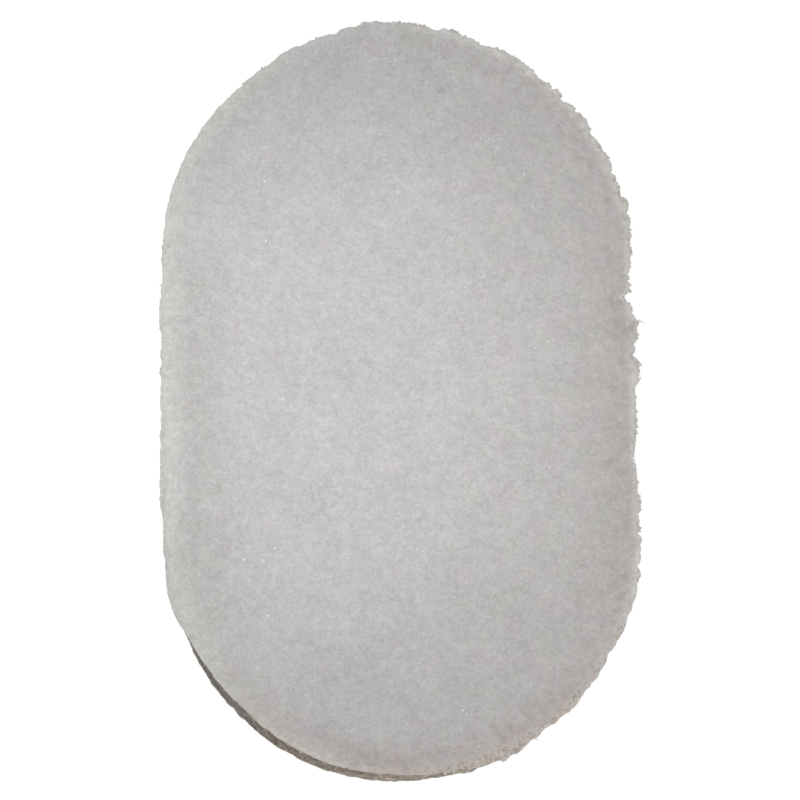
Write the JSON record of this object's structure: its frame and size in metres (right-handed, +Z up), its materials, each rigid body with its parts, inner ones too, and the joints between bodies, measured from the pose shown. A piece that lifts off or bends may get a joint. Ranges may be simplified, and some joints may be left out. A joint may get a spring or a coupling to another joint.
{
  "type": "nail buffer block",
  "caption": "Oblong sponge buffing block with half-round ends, a foam core and an abrasive paper face on each side for smoothing nails.",
  "frame": {"origin": "centre of the lower abrasive face, on the plane the block rests on", "axes": "+Y along the length, +X across the width, +Z up through the thickness from the lower face to the upper one"},
  "size_m": [0.05, 0.08, 0.012],
  "materials": {
    "anti_clog_coat": "matte, granular, pale grey",
    "abrasive_grain": "sharp mineral grain with small bright facets",
    "bond_resin": "cured resin",
    "backing_paper": "cream paper, cut edge fibrous",
    "adhesive_film": "soft translucent adhesive",
    "foam": "matte closed-cell foam with open cut cells at its side wall"
  },
  "bodies": {
    "root": {"lower_size_coat": "anti_clog_coat", "lower_grain_layer": "abrasive_grain", "lower_make_coat": "bond_resin", "lower_backing_paper": "backing_paper", "lower_adhesive_film": "adhesive_film", "foam_core": "foam", "upper_adhesive_film": "adhesive_film", "upper_backing_paper": "backing_paper", "upper_make_coat": "bond_resin", "upper_grain_layer": "abrasive_grain", "upper_size_coat": "anti_clog_coat"}
  },
  "joints": []
}
